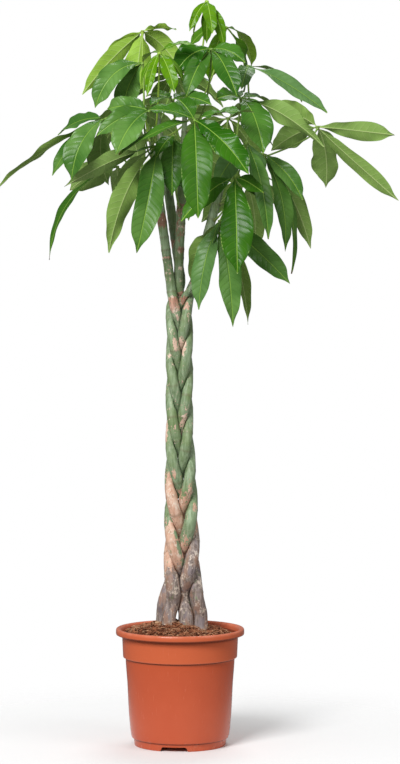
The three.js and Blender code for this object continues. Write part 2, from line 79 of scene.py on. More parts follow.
# profiles of the wall, radius and height in millimetres: outside from the middle of the base up to
# the lip, then inside down to the middle of the floor
POT_OUTSIDE = [
    (0, 0), (30, 0), (49, 0), (50.2, 0.6), (51.4, 6), (52.6, 8.6), (54, 9), (65, 9), (76, 9),
    (77.4, 8.6), (78.6, 6), (79.8, 0.6), (81, 0), (84.5, 0), (85.6, 0.5), (86, 1.6), (86.3, 5),
    (87, 9.5), (87.5, 13), (87.8, 14.2), (88.4, 14.7), (90.2, 14.8), (91, 15.2), (91.5, 16.2), (91.9, 18),
    (92.8, 23), (93.8, 30), (95.2, 45), (96.5, 60), (97.9, 90), (99.3, 120), (101, 140), (102.1, 156),
    (102.3, 161), (102.4, 164.2), (102.7, 165.3), (103.4, 165.8), (105.8, 165.9), (106.8, 166.3),
    (107.2, 167.2), (107.3, 169), (107.7, 178), (108.3, 192), (108.8, 203), (109, 206.6), (109.4, 208.6),
    (110.2, 209.8), (111.6, 210.4), (114.4, 210), (117.4, 209), (119, 208.6), (120, 209.1),
    (120.5, 210.6), (120.5, 214), (120.4, 217), (119.9, 218.8), (118.8, 219.7), (117.2, 220),
    (114.6, 219.9), (112.9, 219.4), (111.4, 218.2),
]
POT_INSIDE = [
    (110.2, 216.4), (109, 213), (107.6, 208.6), (106.7, 204), (106, 190), (104.7, 171), (103.8, 168.6),
    (100.8, 164.2), (99.9, 160), (96.9, 120), (93.9, 60), (91.2, 30), (89.6, 18), (88.4, 14.4),
    (86.4, 12.3), (84, 12), (40, 12), (0, 12),
]


def mesh_piece(name, verts, faces, scale=MM, rounded=True):
    """A new mesh object from points in millimetres, shaded as rounded or as flat."""
    mesh = bpy.data.meshes.new(name)
    mesh.from_pydata([Vector(v) * scale for v in verts], [], faces)
    mesh.polygons.foreach_set("use_smooth", [rounded] * len(mesh.polygons))
    piece = bpy.data.objects.new(name, mesh)
    bpy.context.collection.objects.link(piece)
    return piece


def around(radius, angle):
    """X and Y of a point at this distance from the middle."""
    return radius * math.cos(angle), radius * math.sin(angle)


def circle(radius, count):
    """X and Y of points evenly all round the middle."""
    return [around(radius, 2 * math.pi * i / count) for i in range(count)]


def lathe(name, profile, segments):
    """A closed body of revolution round Z; the profile starts and ends on the axis."""
    verts = []
    rows = []
    for radius, height in profile:
        if radius == 0:
            rows.append([len(verts)] * segments)
            verts.append((0, 0, height))
        else:
            rows.append([len(verts) + i for i in range(segments)])
            verts.extend((x, y, height) for x, y in circle(radius, segments))
    faces = []
    for lower, upper in zip(rows, rows[1:]):
        for i in range(segments):
            j = (i + 1) % segments
            corners = [lower[i], lower[j], upper[j], upper[i]]
            faces.append(tuple(dict.fromkeys(corners)))  # one corner at the axis
    return mesh_piece(name, verts, faces)


def prism(points):
    """A straight-sided cutter: an outline in XZ, running forwards from y = 0."""
    count = len(points)
    verts = [(x, y, z) for y in (0, -CUTTER_DEPTH) for x, z in points]
    faces = [tuple(reversed(range(count))), tuple(range(count, 2 * count))]
    for i in range(count):
        j = (i + 1) % count
        faces.append((i, j, j + count, i + count))
    return mesh_piece("cutter", verts, faces)


def cut(piece, cutter):
    """Cuts one body out of another for good."""
    modifier = piece.modifiers.new("cut", "BOOLEAN")
    modifier.operation = "DIFFERENCE"
    modifier.solver = "EXACT"
    modifier.object = cutter
    bpy.context.view_layer.objects.active = piece
    bpy.ops.object.modifier_apply(modifier=modifier.name)
    bpy.data.objects.remove(cutter)


class Field:
    """A value or colour in a material. Python's operators on it add the Math nodes."""

    def __init__(self, tree, socket):
        self.tree = tree
        self.socket = socket

    def node(self, kind, settings=None, inputs=None, out=0):
        """Any other node: its settings first, then the values or links of its sockets."""
        made = self.tree.nodes.new("ShaderNode" + kind)
        for name, value in (settings or {}).items():
            if name == "stops":
                ramp = made.color_ramp.elements
                while len(ramp) < len(value):
                    ramp.new(0.5)
                for stop, (place, colour) in zip(ramp, value):
                    stop.position = place
                    stop.color = colour
            else:
                setattr(made, name, value)
        for key, value in (inputs or {}).items():
            if isinstance(value, Field):
                self.tree.links.new(value.socket, made.inputs[key])
            else:
                made.inputs[key].default_value = value
        return Field(self.tree, made.outputs[out])

    def maths(self, operation, *values):
        return self.node("Math", {"operation": operation}, dict(enumerate(values)))

    def __add__(self, other):
        return self.maths("ADD", self, other)

    __radd__ = __add__

    def __sub__(self, other):
        return self.maths("SUBTRACT", self, other)

    def __rsub__(self, other):
        return self.maths("SUBTRACT", other, self)

    def __mul__(self, other):
        return self.maths("MULTIPLY", self, other)

    __rmul__ = __mul__

    def __truediv__(self, other):
        return self.maths("DIVIDE", self, other)

    def __rtruediv__(self, other):
        return self.maths("DIVIDE", other, self)

    def __pow__(self, other):
        return self.maths("POWER", self, other)

    def __abs__(self):
        return self.maths("ABSOLUTE", self)

    def above(self, low, high):
        """0 under low, 1 over high, smooth between; the other way round if low is the greater."""
        if low > high:
            return 1 - self.above(high, low)
        limits = {"Value": self, "From Min": low, "From Max": high}
        return self.node("MapRange", {"interpolation_type": "SMOOTHSTEP"}, limits)

    def between(self, start, full, fade, end):
        """0 outside start and end, 1 from full to fade, smooth between."""
        return self.above(start, full) * self.above(end, fade)

    def tint(self, low, high):
        """The colour that goes from low to high as this value goes from 0 to 1."""
        return self.node("Mix", {"data_type": "RGBA"}, {0: self, 6: low, 7: high}, out=2)

    def stretch(self, x, y, z):
        """A place with its axes scaled."""
        return self.node("VectorMath", {"operation": "MULTIPLY"}, {0: self, 1: (x, y, z)})

    def grain(self, scale, detail=3.0, roughness=0.55):
        """Cloudy noise of about 1 / scale metres."""
        inputs = {"Vector": self, "Scale": scale, "Detail": detail, "Roughness": roughness}
        return self.node("TexNoise", {}, inputs)

    def parts(self):
        """The three numbers of a vector."""
        made = self.tree.nodes.new("ShaderNodeSeparateXYZ")
        self.tree.links.new(self.socket, made.inputs[0])
        return [Field(self.tree, output) for output in made.outputs]


def rgb(red, green, blue):
    """A screen colour, 0 to 255, as the linear colour that a socket takes."""
    def linear(level):
        level /= 255
        return level / 12.92 if level <= 0.04045 else ((level + 0.055) / 1.055) ** 2.4
    return (linear(red), linear(green), linear(blue), 1)


def finish_of(name, **constants):
    """A new material: its shader's fixed values, and the place in the object to build on."""
    material = bpy.data.materials.new(name)
    material.use_nodes = True
    tree = material.node_tree
    shader = tree.nodes["Principled BSDF"]
    for key, value in constants.items():
        shader.inputs[key.replace("_", " ").title().replace("Ior", "IOR")].default_value = value
    place = Field(tree, tree.nodes.new("ShaderNodeTexCoord").outputs["Object"])
    return material, shader, place


def wire(shader, relief=None, depth=0.0005, strength=1.0, **inputs):
    """Links colour, roughness and a relief, a height of 0 to 1 over depth metres, to the shader."""
    for key, field in inputs.items():
        field.tree.links.new(field.socket, shader.inputs[key.replace("_", " ").title()])
    if relief is not None:
        bump = relief.node("Bump", {}, {"Strength": strength, "Distance": depth, "Height": relief})
        relief.tree.links.new(bump.socket, shader.inputs["Normal"])


pot = lathe("nursery_pot", POT_OUTSIDE + POT_INSIDE, POT_SEGMENTS)
for i in range(NOTCH_COUNT):
    notch = prism(NOTCH_OUTLINE)
    notch.data.transform(Matrix.Translation((0, -NOTCH_START * MM, 0)))
    notch.data.transform(Matrix.Rotation(math.radians(NOTCH_TURN + 360 / NOTCH_COUNT * i), 4, "Z"))
    cut(pot, notch)
for i in range(HOLE_COUNT):
    drill = prism(circle(HOLE_RADIUS, HOLE_SIDES))
    drill.data.transform(Matrix.Rotation(math.radians(90), 4, "X"))
    drill.data.transform(Matrix.Translation((HOLE_CIRCLE * MM, 0, HOLE_TOP * MM)))
    drill.data.transform(Matrix.Rotation(math.radians(360 / HOLE_COUNT * (i + 0.5)), 4, "Z"))
    cut(pot, drill)
pot.data.set_sharp_from_angle(angle=math.radians(POT_CREASE))

pot_finish, shader, place = finish_of("terracotta_plastic", specular_ior_level=0.3)
height = place.parts()[2]
fine = place.grain(900, 3, 0.6)
scuffs = place.stretch(420, 420, 24).grain(1, 4, 0.7).above(0.62, 0.74)
dust = place.grain(60, 4, 0.7).above(0.42, 0.75) * height.above(0.03, 0.0)
# painted shade: dark red-brown bands just under the lip, under the step and under the overhang above the
# foot ring, where shade falls
under_lip = height.between(0.2015, 0.2062, 0.2098, 0.2112)
under_step = height.between(0.1625, 0.1648, 0.1662, 0.1668)
over_foot = height.between(0.0118, 0.0136, 0.0148, 0.0156)
crease_shade = (under_lip + under_step + over_foot) * (0.6 + fine * 0.4)
# painted light: the collar above the step is tinted lighter than the body, to make up for the shade it gets
collar = height.above(0.16, 0.168)
# painted highlight: the top of the lip is tinted paler, more strongly in patches
lip_highlight = height.above(0.2135, 0.2192) * (0.3 + place.grain(70, 3).above(0.4, 0.65) * 0.3)
tone = (place.grain(9, 2) * 0.7 + place.grain(35, 2) * 0.3).tint(rgb(181, 78, 47), rgb(193, 90, 57))
tone = (collar * 0.6).tint(tone, rgb(206, 104, 66))
tone = (scuffs * 0.14).tint(tone, rgb(212, 132, 102))
tone = (dust * 0.35).tint(tone, rgb(170, 116, 90))
tone = lip_highlight.tint(tone, rgb(222, 136, 108))
tone = (crease_shade * 0.8).tint(tone, rgb(74, 24, 10))
gloss = 0.17 + place.grain(50, 3) * 0.08 + scuffs * 0.14 + dust * 0.25
relief = fine * 0.6 + place.grain(30, 2) * 0.6
wire(shader, relief, depth=0.00035, strength=0.35, base_color=tone, roughness=gloss)
pot.data.materials.append(pot_finish)
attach(pot, "root")
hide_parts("pot")

# ---------------------------------------------------------------- soil
# Potting mix of brown pine bark chips, coir and peat, heaped round the stems and settled lower at
# the pot's right-hand back. The chips lie loose on a bed of the finer mix.
SOIL_EDGE = 210  # height of the mix at the pot's wall
SOIL_MOUND = 21.5  # rise towards the stems
SOIL_TILT = 6
SOIL_LUMPS = 2.4
SOIL_REACH = 103
SOIL_RADIUS = 105.6
HOLLOW = (44, -27)  # middle of the hollow by the front right stem
HOLLOW_DEPTH = 8
HOLLOW_WIDTH = 24
BED_RINGS = 44
BED_SECTORS = 132
BED_DEPTH = 2.2  # how far the fine mix lies under the tops of the chips
BED_FOOT_RADIUS = 88
BED_FOOT_HEIGHT = 60
STEM_FEET = [(10, 25), (-21, -16), (-32, 19), (12, -12), (38, -4)]
STEM_CLEARANCE = 11
CHIP_COUNT = 2700
CHIP_SHAPES = 24
CHIP_CORNERS = 11
CHIP_LENGTHS = (3, 3.5, 4, 5, 6, 7, 9, 12)
CHIP_REACH = 104
FIBRE_COUNT = 420
FIBRE_REACH = 100
FIBRE_STEPS = 6
FIBRE_HALF_WIDTH = 0.28
FIBRE_HEIGHT = 0.5


def soil_height(x, y):
    """Top of the mix, as heaped by hand."""
    reach = min(1.0, math.hypot(x, y) / SOIL_REACH)
    tilt = SOIL_TILT * (x + y) / (math.sqrt(2) * SOIL_REACH)
    lumps = SOIL_LUMPS * math.sin(0.16 * x) * math.cos(0.14 * y + 1)
    hollow = HOLLOW_DEPTH * math.exp(-(math.dist((x, y), HOLLOW) / HOLLOW_WIDTH) ** 2)
    return SOIL_EDGE + SOIL_MOUND * (1 - reach ** 2) + lumps * (1 - reach ** 6) - tilt - hollow


verts = [(0, 0, soil_height(0, 0) - 2)]
for ring in range(1, BED_RINGS + 1):
    for x, y in circle(SOIL_RADIUS * ring / BED_RINGS, BED_SECTORS):
        rough = 2.2 * noise.noise(Vector((x / 7, y / 7, 1)))
        rough += 1.2 * noise.noise(Vector((x / 2.6, y / 2.6, 5)))
        verts.append((x, y, soil_height(x, y) - BED_DEPTH + rough))
verts.extend((x, y, BED_FOOT_HEIGHT) for x, y in circle(BED_FOOT_RADIUS, BED_SECTORS))
faces = []
for sector in range(BED_SECTORS):
    after = (sector + 1) % BED_SECTORS
    faces.append((0, 1 + sector, 1 + after))
    for ring in range(BED_RINGS):
        inner = 1 + ring * BED_SECTORS
        outer = inner + BED_SECTORS
        faces.append((inner + sector, outer + sector, outer + after, inner + after))
foot = 1 + BED_RINGS * BED_SECTORS
faces.append(tuple(foot + sector for sector in reversed(range(BED_SECTORS))))
bed = mesh_piece("soil_bed", verts, faces)


def chip_shape(maker, length, width, height):
    """An angular splinter of bark: the hull of a few random points."""
    hull = bmesh.new()
    for _ in range(CHIP_CORNERS):
        corner = Vector((maker.uniform(-1, 1), maker.uniform(-1, 1), maker.uniform(-1, 1)))
        corner.normalize()
        hull.verts.new((corner.x * length / 2, corner.y * width / 2, corner.z * height / 2))
    bmesh.ops.convex_hull(hull, input=hull.verts)
    loose = [v for v in hull.verts if not v.link_faces]
    bmesh.ops.delete(hull, geom=loose, context="VERTS")
    hull.verts.index_update()
    shape = [v.co.copy() for v in hull.verts], [tuple(v.index for v in f.verts) for f in hull.faces]
    hull.free()
    return shape


def tube_faces(base, rings, sides):
    """Faces of a tube of rings of points, the first of which has the number base."""
    faces = []
    for row in range(base, base + (rings - 1) * sides, sides):
        for i in range(sides):
            j = (i + 1) % sides
            faces.append((row + i, row + j, row + sides + j, row + sides + i))
    return faces


draw = random.Random(11)
chip_shapes = []
for _ in range(CHIP_SHAPES):
    chip_shapes.append(chip_shape(draw, 1, draw.uniform(0.45, 0.8), draw.uniform(0.2, 0.45)))
verts, faces, tones = [], [], []
placed = 0
while placed < CHIP_COUNT:
    radius = SOIL_REACH * math.sqrt(draw.random())
    x, y = around(radius, draw.uniform(0, 2 * math.pi))
    length = draw.choice(CHIP_LENGTHS) * draw.uniform(0.8, 1.25)
    nearest_stem = min(math.dist((x, y), foot) for foot in STEM_FEET)
    if radius + length / 2 > CHIP_REACH or nearest_stem < STEM_CLEARANCE:
        continue
    placed += 1
    corners, sides = draw.choice(chip_shapes)
    turn = Matrix.Rotation(draw.uniform(0, 2 * math.pi), 3, "Z")
    tilt = Matrix.Rotation(draw.gauss(0, 0.45), 3, "X") @ Matrix.Rotation(draw.gauss(0, 0.3), 3, "Y")
    middle = Vector((x, y, soil_height(x, y) + draw.uniform(-2.4, 1.2)))
    base = len(verts)
    verts.extend(middle + turn @ tilt @ (corner * length) for corner in corners)
    faces.extend(tuple(base + i for i in side) for side in sides)
    tones.extend([draw.random()] * len(corners))
for _ in range(FIBRE_COUNT):
    radius = FIBRE_REACH * math.sqrt(draw.random())
    x, y = around(radius, draw.uniform(0, 2 * math.pi))
    bend = draw.uniform(-0.5, 0.5)
    way = draw.uniform(0, 2 * math.pi)
    length = draw.uniform(8, 22)
    spot = Vector((x, y, 0))
    shade = draw.uniform(0.7, 1.0)
    base = len(verts)
    for step in range(FIBRE_STEPS):
        if math.hypot(spot.x, spot.y) > SOIL_REACH:
            spot *= SOIL_REACH / math.hypot(spot.x, spot.y)
        arch = 0.8 + 1.8 * math.sin(math.pi * step / (FIBRE_STEPS - 1))
        spot.z = soil_height(spot.x, spot.y) + arch
        side = Vector((-math.sin(way), math.cos(way), 0)) * FIBRE_HALF_WIDTH
        verts.extend([spot + side, spot - side, spot + Vector((0, 0, FIBRE_HEIGHT))])
        way += bend
        spot = spot + Vector((math.cos(way), math.sin(way), 0)) * length / FIBRE_STEPS
    faces.extend(tube_faces(base, FIBRE_STEPS, 3))
    tones.extend([shade] * (3 * FIBRE_STEPS))
chips = mesh_piece("bark_chips", verts, faces, rounded=False)


def carry(piece, name, values):
    """Puts a value on every point of a mesh, for its material to read."""
    attribute = piece.data.attributes.new(name, "FLOAT", "POINT")
    attribute.data.foreach_set("value", values)


def carried(place, name):
    """The value that the mesh carries under this name."""
    return place.node("Attribute", {"attribute_name": name}, {}, out="Fac")


carry(chips, "chip", tones)

soil_finish, shader, place = finish_of("peat_and_coir", specular_ior_level=0.25)
speck = place.grain(420, 4, 0.7)
clods = (place.grain(130, 4, 0.7) * 0.6 + speck * 0.5).above(0.3, 0.85)
tone = clods.tint(rgb(62, 33, 21), rgb(134, 76, 48))
wire(shader, speck, depth=0.002, strength=0.9, base_color=tone, roughness=0.85 + speck * 0.12)
bed.data.materials.append(soil_finish)

chip_finish, shader, place = finish_of("pine_bark", specular_ior_level=0.3)
chip = carried(place, "chip")
fibre = place.stretch(900, 260, 260).grain(1, 4, 0.65)
stops = [
    (0.0, rgb(84, 46, 30)), (0.3, rgb(128, 74, 47)), (0.58, rgb(154, 94, 62)), (0.84, rgb(170, 112, 78)),
    (0.96, rgb(206, 166, 130)),
]
tone = chip.node("ValToRGB", {"stops": stops}, {"Fac": chip})
tone = (fibre.above(0.35, 0.75) * 0.5).tint(tone, rgb(70, 36, 22))
wire(shader, fibre, depth=0.001, strength=0.8, base_color=tone, roughness=0.7 + fibre * 0.25)
chips.data.materials.append(chip_finish)
for piece in (bed, chips):
    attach(piece, "root")
    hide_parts("soil")

# ---------------------------------------------------------------- stems
# Five young pachira stems, planted together and plaited while they were soft, each over two and
# under two of the others, and grown into flats where they press on each other. The bark is thin:
# grey-green above, peeling to pinkish tan, and grey-brown and fissured near the soil.
STRANDS = 5
PLAIT_PITCH = 382  # height of one full turn of the pattern
PLAIT_PHASE = 288
PLAIT_START = 348
PLAIT_DEPTH = 1.7
SPLAY_TOP = 310  # under this the stems spread to their feet
SPLAY_BOTTOM = 240
PLAIT_TOP = 820
FREE_START = 880
FREE_HEIGHT = 900  # heights of the two places that a free stem goes through
HIGH_HEIGHT = 1150
PRESSED_GAP = 0.35
PRESS_REACH = 6  # flats are looked for this far above and below a ring
SIGHT = 32
AXIS_STEP = 2
AXIS_LOW = 100
AXIS_HIGH = 1260
TAPER_LENGTH = 130
STEM_LOW = 196
STEM_RING = 3.4
STEM_SIDES = 28
TOP_DOME = 1.5  # rise of the middle of a stem's cut top
SCAR_HEIGHT = 0.55
SCAR_WIDTH = 2.4
SCAR_STAIN = 1.5
SCAR_LOWEST = 250
SCARS_CLOSE = 860  # from here up they are closer together
FLARE_WIDTH = 3.0  # swelling of the foot, from the soil up to FLARE_TOP
FLARE_LOW = 205
FLARE_TOP = 250
SKIN_BLEND = 34
MARK_EDGE = 1.5
RED_EDGE = 2.2
# height, then half the plait's width, a strand's radius, or how far the plait leans to the right
PLAIT_HALF_WIDTH = [(240, 45), (280, 39), (330, 35), (400, 33), (480, 31), (600, 26), (820, 25.5)]
STRAND_RADIUS = [(235, 13.4), (330, 13), (420, 11.4), (500, 10.4), (600, 9.6), (820, 9.4), (880, 8.6)]
PLAIT_LEAN = [(240, 4.5), (330, 4), (520, 1), (600, -1)]
# name, places at FREE_HEIGHT and HIGH_HEIGHT, top, and radius at the top
STEMS = [
    ("stem_back", (-2, 20), (-38, 44), 1190, 4.5),
    ("stem_left", (41, -24), (138, -56), 905, 3),
    ("stem_far_left", (36, 26), (104, 40), 1120, 4.5),
    ("stem_middle", (-2, -3), (8, -8), 1180, 4.5),
    ("stem_right", (-22, -12), (-56, -14), 1130, 4.5),
]
# heights under which each stem's green skin has turned tan, and its tan skin to grey rind
SKIN_CHANGES = [(412, 345), (468, 332), (392, 362), (454, 404), (508, 400)]
# marks on the skin: stem, height, half length, bearing, half width in degrees, 1 where it has peeled
# to tan or -1 where it has stayed green, and how red-brown it is
MARKS = [
    (4, 829, 13, -90, 200, 1, 0.8), (3, 846, 8, -90, 200, 1, 0.9), (1, 836, 8, -90, 110, 1, 0.9),
    (2, 821, 5, -110, 70, 1, 0.3), (4, 806, 7, -80, 16, 0.8, 0), (0, 752, 13, -55, 45, 1, 0),
    (2, 758, 16, -90, 50, 1, 0.05), (3, 748, 15, -140, 45, 1, 0), (1, 729, 4, -110, 40, 1, 0.1),
    (4, 605, 26, -65, 50, 1, 0), (3, 586, 22, -165, 40, 0.8, 0), (2, 596, 9, -75, 32, 0.8, 0),
    (3, 514, 8, -105, 20, 0.9, 0), (3, 483, 9, -85, 34, 1, 0), (2, 446, 6, -60, 40, 1, 0.1),
    (4, 985, 14, -90, 200, 1, 1), (4, 915, 2.2, -90, 120, 1.2, 0), (3, 1004, 12, -90, 200, 1, 0.5),
    (3, 968, 24, -100, 70, 0.9, 0.4), (3, 930, 7, -60, 70, 0.9, 0.6), (3, 896, 4, -80, 60, 0.8, 0.8),
    (0, 940, 10, -90, 90, 0.9, 0.7), (1, 1010, 9, -90, 150, 1, 0.7), (0, 372, 12, -35, 32, -1, 0),
    (0, 344, 9, -25, 36, -1, 0), (4, 500, 16, -20, 40, -1, 0), (0, 395, 7, -40, 25, -1, 0),
]


def lerp(a, b, t):
    return a + (b - a) * t


def smooth(value, low, high):
    t = min(1.0, max(0.0, (value - low) / (high - low)))
    return t * t * (3 - 2 * t)


def along(pairs, height):
    """Value at a height from pairs of height and value."""
    if height <= pairs[0][0]:
        return pairs[0][1]
    for (h0, v0), (h1, v1) in zip(pairs, pairs[1:]):
        if height <= h1:
            return lerp(v0, v1, (height - h0) / (h1 - h0))
    return pairs[-1][1]


def stem_radius(index, z):
    top, tip = STEMS[index][3:]
    return lerp(along(STRAND_RADIUS, z), tip, smooth(z, top - TAPER_LENGTH, top))


def stem_axis(index, z):
    """Axis of a strand at a height, in millimetres."""
    foot = STEM_FEET[index]
    free, high = STEMS[index][1:3]
    radius = along(STRAND_RADIUS, z)
    half = along(PLAIT_HALF_WIDTH, z) - radius
    turn = math.radians(PLAIT_PHASE + 360 / STRANDS * index + 360 * (z - PLAIT_START) / PLAIT_PITCH)
    plait = (along(PLAIT_LEAN, z) - half * math.cos(turn), PLAIT_DEPTH * radius * math.sin(2 * turn))
    splay = 1 - smooth(z, SPLAY_BOTTOM, SPLAY_TOP)
    loose = smooth(z, PLAIT_TOP, FREE_START)
    rise = (z - FREE_HEIGHT) / (HIGH_HEIGHT - FREE_HEIGHT)
    place = [lerp(lerp(plait[i], foot[i], splay), lerp(free[i], high[i], rise), loose) for i in (0, 1)]
    return Vector((*place, z))


axis_heights = range(AXIS_LOW, AXIS_HIGH, AXIS_STEP)
axis_points = [[stem_axis(index, z) for z in axis_heights] for index in range(STRANDS)]


def nearest_on_stem(index, point):
    """Nearest point of another strand's axis, no more than SIGHT above or below."""
    first = int((point.z - SIGHT - AXIS_LOW) / AXIS_STEP)
    last = first + 2 * SIGHT // AXIS_STEP
    top = STEMS[index][3]
    near = [p for p in axis_points[index][max(0, first):last + 1] if p.z <= top]
    return min(near, key=lambda p: (p - point).length_squared) if near else None


def stem_rings(index):
    """Ring by ring up the stem: height, centre, its two side directions and the neighbours' flats."""
    top = STEMS[index][3]
    count = round((top - STEM_LOW) / STEM_RING)
    for step in range(count + 1):
        height = lerp(STEM_LOW, top, step / count)
        centre = stem_axis(index, height)
        ahead = (stem_axis(index, height + 1) - centre).normalized()
        side = Vector((1, 0, 0)).cross(ahead).normalized()
        across = ahead.cross(side)
        flats = []
        for level in (height - PRESS_REACH, height, height + PRESS_REACH):
            middle = stem_axis(index, level)
            for other in range(STRANDS):
                near = None if other == index else nearest_on_stem(other, middle)
                if near is not None:
                    apart = near - middle
                    flats.append((apart.normalized(), apart.length / 2 - PRESSED_GAP))
        yield height, centre, across, side, flats


def scar_heights(index, maker):
    """Heights of the leaf scars that ring a stem, closer together towards its top."""
    heights = []
    z = SCAR_LOWEST + maker.uniform(0, 40)
    while z < STEMS[index][3] - 6:
        heights.append(z)
        z += maker.uniform(30, 62) if z < SCARS_CLOSE else maker.uniform(17, 30)
    return heights


def skin_marks(index, height, bearing):
    """How far the skin here has peeled (1) or stayed green (-1), and how red-brown it is."""
    peeled = red = 0
    for stem, middle, length, facing, width, kind, redness in MARKS:
        if stem == index:
            away = abs((bearing - facing + 180) % 360 - 180)
            fit = ((height - middle) / length) ** 2 + (away / width) ** 2
            peeled += kind * max(0, MARK_EDGE - fit)
            red = max(red, redness * min(1, max(0, RED_EDGE - fit)))
    return min(1, max(-1, peeled)), red


stem_draw = random.Random(5)
stem_pieces = []
for index, (name, *_) in enumerate(STEMS):
    scars = scar_heights(index, stem_draw)
    green_end, tan_end = SKIN_CHANGES[index]
    verts, looks = [], []
    for height, centre, across, side, flats in stem_rings(index):
        scar = min(abs(height - s) for s in scars)
        ridge = SCAR_HEIGHT * math.exp(-(scar / SCAR_WIDTH) ** 2)
        flare = FLARE_WIDTH * (1 - smooth(height, FLARE_LOW, FLARE_TOP)) ** 2
        radius = stem_radius(index, height)
        for x, y in circle(1, STEM_SIDES):
            direction = (side * x + across * y).normalized()
            sample = Vector((direction.x * 2.2, direction.y * 2.2, height / 26 + index * 40))
            lump = noise.noise(sample) * 0.55 + noise.noise(sample * 3.1) * 0.22
            limit = radius + ridge + flare * (0.7 + 0.5 * noise.noise(sample * 1.4)) + lump
            for way, half in flats:
                facing = direction.dot(way)
                if facing * limit > half:
                    limit = half / facing
            verts.append(centre + direction * limit)
            cloud = 14 * noise.noise(sample * 0.8) + 8 * noise.noise(sample * 2.6)
            tan = 1 - smooth(height + cloud, green_end - SKIN_BLEND, green_end + SKIN_BLEND)
            grey = 1 - smooth(height + cloud, tan_end - SKIN_BLEND, tan_end + SKIN_BLEND)
            mark, red = skin_marks(index, height, math.degrees(math.atan2(direction.y, direction.x)))
            looks.append((tan, grey, mark, red, math.exp(-(scar / SCAR_STAIN) ** 2)))
    walls = tube_faces(0, len(verts) // STEM_SIDES, STEM_SIDES)
    faces = [(first, *others[::-1]) for first, *others in walls]  # rings run clockwise here
    last = len(verts) - STEM_SIDES
    verts.append(sum(verts[last:], Vector()) / STEM_SIDES + Vector((0, 0, TOP_DOME)))
    faces.extend((last + k, len(verts) - 1, last + (k + 1) % STEM_SIDES) for k in range(STEM_SIDES))
    piece = mesh_piece(name + "_bark", verts, faces)
    stem_pieces.append(piece)
    looks.append(looks[-1])
    for key, values in zip(("tan", "grey", "mark", "blush", "leaf_scar"), zip(*looks)):
        carry(piece, key, values)

bark_finish, shader, place = finish_of("pachira_bark", specular_ior_level=0.4)
height = place.parts()[2]
streak = place.stretch(230, 230, 26).grain(1, 4, 0.65)
blotch = place.stretch(1, 1, 0.45).grain(75, 4, 0.6)
speck = place.stretch(1, 1, 0.6).grain(330, 3, 0.6)
fissure = place.stretch(620, 620, 75).grain(1, 5, 0.7)
tongue = place.stretch(95, 95, 14).grain(1, 3, 0.6)
ragged = (blotch - 0.5) * 2.2 + (speck - 0.5) * 3.0 + (tongue - 0.5) * 2.6
bare = (carried(place, "tan") * 1.4 + carried(place, "mark") + ragged).above(0.64, 0.8)
old = (carried(place, "grey") + ragged * 0.35).above(0.38, 0.66)
scar = carried(place, "leaf_scar")
spots = place.stretch(1, 1, 0.5).node("TexVoronoi", {"feature": "F1"}, {"Scale": 150.0}, out="Distance")
pores = spots.above(0.24, 0.12) * place.grain(30, 2).above(0.52, 0.62)
flakes = (speck - 0.5 + (place.grain(60, 2) - 0.5) * 1.2).above(0.13, 0.24)
freckles = place.grain(210, 2).above(0.64, 0.68) * place.grain(20, 2).above(0.52, 0.6)
green = streak.above(0.3, 0.7).tint(rgb(104, 126, 88), rgb(156, 176, 140))
green = (place.grain(26, 2).above(0.45, 0.65) * 0.6).tint(green, rgb(114, 136, 80))
green = (blotch.above(0.55, 0.8) * 0.4).tint(green, rgb(168, 184, 156))
green = (fissure.above(0.55, 0.85) * 0.3).tint(green, rgb(72, 92, 62))
tan = streak.above(0.3, 0.72).tint(rgb(190, 146, 122), rgb(224, 182, 156))
tan = (blotch.above(0.5, 0.72) * 0.6).tint(tan, rgb(232, 206, 186))
tan = (speck.above(0.58, 0.72) * 0.6).tint(tan, rgb(138, 102, 84))
red_brown = streak.above(0.35, 0.62).tint(rgb(132, 84, 70), rgb(196, 142, 118))
tan = (carried(place, "blush") * 0.85).tint(tan, red_brown)
tan = (height.between(0.56, 0.6, 0.8, 0.84) * 0.5).tint(tan, rgb(236, 208, 190))
tan = (height.above(0.88, 0.96) * 0.55).tint(tan, rgb(118, 88, 68))
rind = streak.above(0.32, 0.68).tint(rgb(104, 90, 84), rgb(178, 162, 152))
rind = (blotch.above(0.46, 0.66) * 0.6).tint(rind, rgb(138, 128, 134))
rind = (place.stretch(1, 1, 0.4).grain(60, 3).above(0.5, 0.6) * 0.75).tint(rind, rgb(166, 130, 110))
rind = (fissure.above(0.54, 0.74) * 0.6).tint(rind, rgb(76, 60, 54))
tone = bare.tint(green, tan)
tone = (old * bare).tint(tone, rind)
tone = (scar * 0.4).tint(tone, rgb(112, 92, 74))
tone = (pores.maths("MAXIMUM", pores, freckles) * 0.75).tint(tone, rgb(226, 208, 182))
tone = (flakes * bare * 0.7).tint(tone, rgb(232, 216, 198))
relief = fissure * (0.25 + old * 0.5) + streak * 0.4 + pores * 0.5 + bare * 0.35
relief = relief + blotch * 0.3 - scar * 0.3
gloss = 0.42 + bare * 0.2 + blotch * 0.12
wire(shader, relief, depth=0.0011, strength=0.6, base_color=tone, roughness=gloss)
for piece, (name, *_) in zip(stem_pieces, STEMS):
    piece.data.materials.append(bark_finish)
    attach(piece, "root")
    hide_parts(name)

